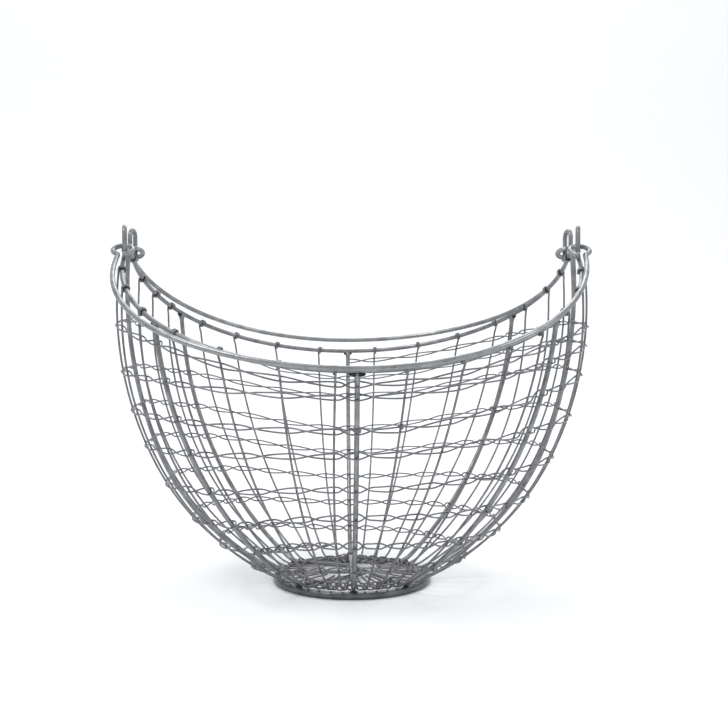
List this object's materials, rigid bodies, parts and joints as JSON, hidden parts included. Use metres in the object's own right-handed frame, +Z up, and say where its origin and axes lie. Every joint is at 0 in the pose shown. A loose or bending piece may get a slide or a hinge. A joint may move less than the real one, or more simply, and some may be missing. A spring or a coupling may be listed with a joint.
{
  "type": "wire egg collection basket",
  "caption": "Round-bottomed open wire basket with a saddle-shaped rim, a ring foot and bail handles that fold down along the rim.",
  "frame": {"origin": "centre of the foot ring on the surface the basket stands on", "axes": "+Z up, +X to the right along the line of the two high ends of the rim, -Y towards the front"},
  "size_m": [0.3038, 0.2868, 0.2313],
  "materials": {
    "frame_wire": "galvanised satin grey heavy wire",
    "mesh_wire": "galvanised satin grey fine wire",
    "handle_wire": "galvanised satin grey heavy wire, a little brighter where it is held"
  },
  "bodies": {
    "basket": {"rim_wire": "frame_wire", "foot_ring": "frame_wire", "rib_front_back": "frame_wire", "rib_left_right": "frame_wire", "rib_front_left_back_right": "frame_wire", "rib_front_right_back_left": "frame_wire", "eye_front_left": "frame_wire", "eye_back_left": "frame_wire", "eye_front_right": "frame_wire", "eye_back_right": "frame_wire", "warp_01": "mesh_wire", "warp_02": "mesh_wire", "warp_03": "mesh_wire", "warp_04": "mesh_wire", "warp_05": "mesh_wire", "warp_06": "mesh_wire", "warp_07": "mesh_wire", "warp_08": "mesh_wire", "warp_09": "mesh_wire", "warp_10": "mesh_wire", "warp_11": "mesh_wire", "warp_12": "mesh_wire", "warp_13": "mesh_wire", "warp_14": "mesh_wire", "warp_15": "mesh_wire", "warp_16": "mesh_wire", "warp_17": "mesh_wire", "warp_18": "mesh_wire", "warp_19": "mesh_wire", "warp_20": "mesh_wire", "warp_21": "mesh_wire", "warp_22": "mesh_wire", "warp_23": "mesh_wire", "warp_24": "mesh_wire", "warp_25": "mesh_wire", "warp_26": "mesh_wire", "warp_27": "mesh_wire", "warp_28": "mesh_wire", "warp_29": "mesh_wire", "warp_30": "mesh_wire", "weft_course_1_a": "mesh_wire", "weft_course_1_b": "mesh_wire", "weft_course_2_a": "mesh_wire", "weft_course_2_b": "mesh_wire", "weft_course_3_a": "mesh_wire", "weft_course_3_b": "mesh_wire", "weft_course_4_a": "mesh_wire", "weft_course_4_b": "mesh_wire", "weft_course_5_a": "mesh_wire", "weft_course_5_b": "mesh_wire", "weft_course_6_a": "mesh_wire", "weft_course_6_b": "mesh_wire", "weft_course_7_a": "mesh_wire", "weft_course_7_b": "mesh_wire", "weft_course_8_a": "mesh_wire", "weft_course_8_b": "mesh_wire", "floor_weft_outer": "mesh_wire", "floor_weft_inner": "mesh_wire"},
    "front_handle": {"front_handle": "handle_wire"},
    "back_handle": {"back_handle": "handle_wire"}
  },
  "joints": [
    {"name": "front_handle_hinge", "type": "hinge", "parent": "basket", "child": "front_handle", "pos_m": [0, -0.01217, 0.2207], "axis": [-1, 0, 0], "range_deg": [0, 119]},
    {"name": "back_handle_hinge", "type": "hinge", "parent": "basket", "child": "back_handle", "pos_m": [0, 0.01217, 0.2207], "axis": [1, 0, 0], "range_deg": [0, 116]}
  ]
}
